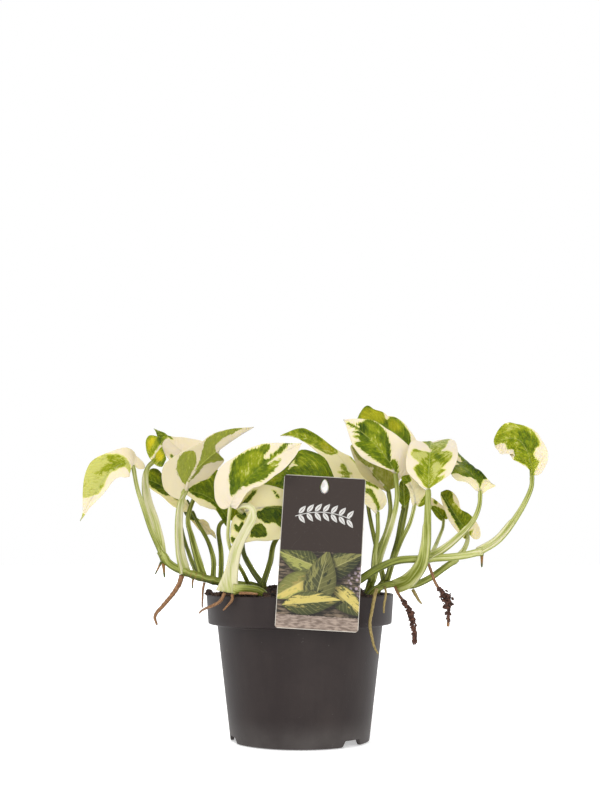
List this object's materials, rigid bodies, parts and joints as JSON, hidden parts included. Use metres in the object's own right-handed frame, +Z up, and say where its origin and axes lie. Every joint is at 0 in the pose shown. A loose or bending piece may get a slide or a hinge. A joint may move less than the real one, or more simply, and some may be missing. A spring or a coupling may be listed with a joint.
{
  "type": "variegated pothos in nursery pot",
  "caption": "Trailing pothos with waved heart-shaped green and cream leaves, bare vines and aerial roots, in a dark round nursery pot of soil with a plain picture label on a stake.",
  "frame": {"origin": "centre of the pot's underside, on the flat disc that stands level with its foot ring", "axes": "+Z up along the pot's axis, -Y towards the side that the label faces, +X to the right of it"},
  "size_m": [0.293, 0.1582, 0.2158],
  "materials": {
    "pot": "matte",
    "soil": "matte",
    "label": "satin",
    "stake": "satin",
    "stem_green": "satin",
    "stem_pale": "satin",
    "leaf_green": "satin",
    "leaf_dark": "satin",
    "leaf_cream": "satin",
    "root_brown": "matte",
    "root_olive": "matte"
  },
  "bodies": {
    "root": {"pot": "pot", "soil": "soil", "label_card": "label", "label_stake": "stake", "vine_left": "stem_green", "vine_right_upper": "stem_green", "vine_right_lower": "stem_green", "cutting_left_middle": "stem_green", "cutting_right_middle": "stem_green", "cutting_right_back": "stem_green", "cutting_back": "stem_green", "cutting_front_left": "stem_pale", "leaf_far_left": "leaf_green", "leaf_left_rolled": "leaf_green", "leaf_left_underside": "leaf_green", "leaf_front_left": "leaf_green", "leaf_arch": "leaf_green", "leaf_right_front": "leaf_green", "leaf_right_underside": "leaf_green", "leaf_right_top": "leaf_green", "leaf_right_facing": "leaf_green", "leaf_far_right": "leaf_green", "leaf_right_low": "leaf_green", "leaf_right_small": "leaf_green", "leaf_right_edge_on": "leaf_green", "leaf_back_centre": "leaf_green", "leaf_back_left": "leaf_green", "leaf_back_right": "leaf_green", "leaf_back_low": "leaf_green", "leaf_left_low": "leaf_dark", "leaf_left_inner": "leaf_dark", "leaf_behind_label": "leaf_dark", "leaf_right_dark": "leaf_dark", "leaf_left_back": "leaf_cream", "leaf_left_small": "leaf_cream", "leaf_front_cream": "leaf_cream", "leaf_label_side": "leaf_cream", "leaf_right_cream": "leaf_cream", "leaf_back_low_right": "leaf_cream", "root_left_long": "root_brown", "root_left_thin": "root_brown", "root_front_long": "root_brown", "root_front_short": "root_brown", "root_front_flat": "root_brown", "root_right_clotted": "root_brown", "root_right_crumbly": "root_brown", "root_right_tan": "root_olive", "root_front_olive": "root_olive", "root_front_olive_short": "root_olive"}
  },
  "joints": []
}
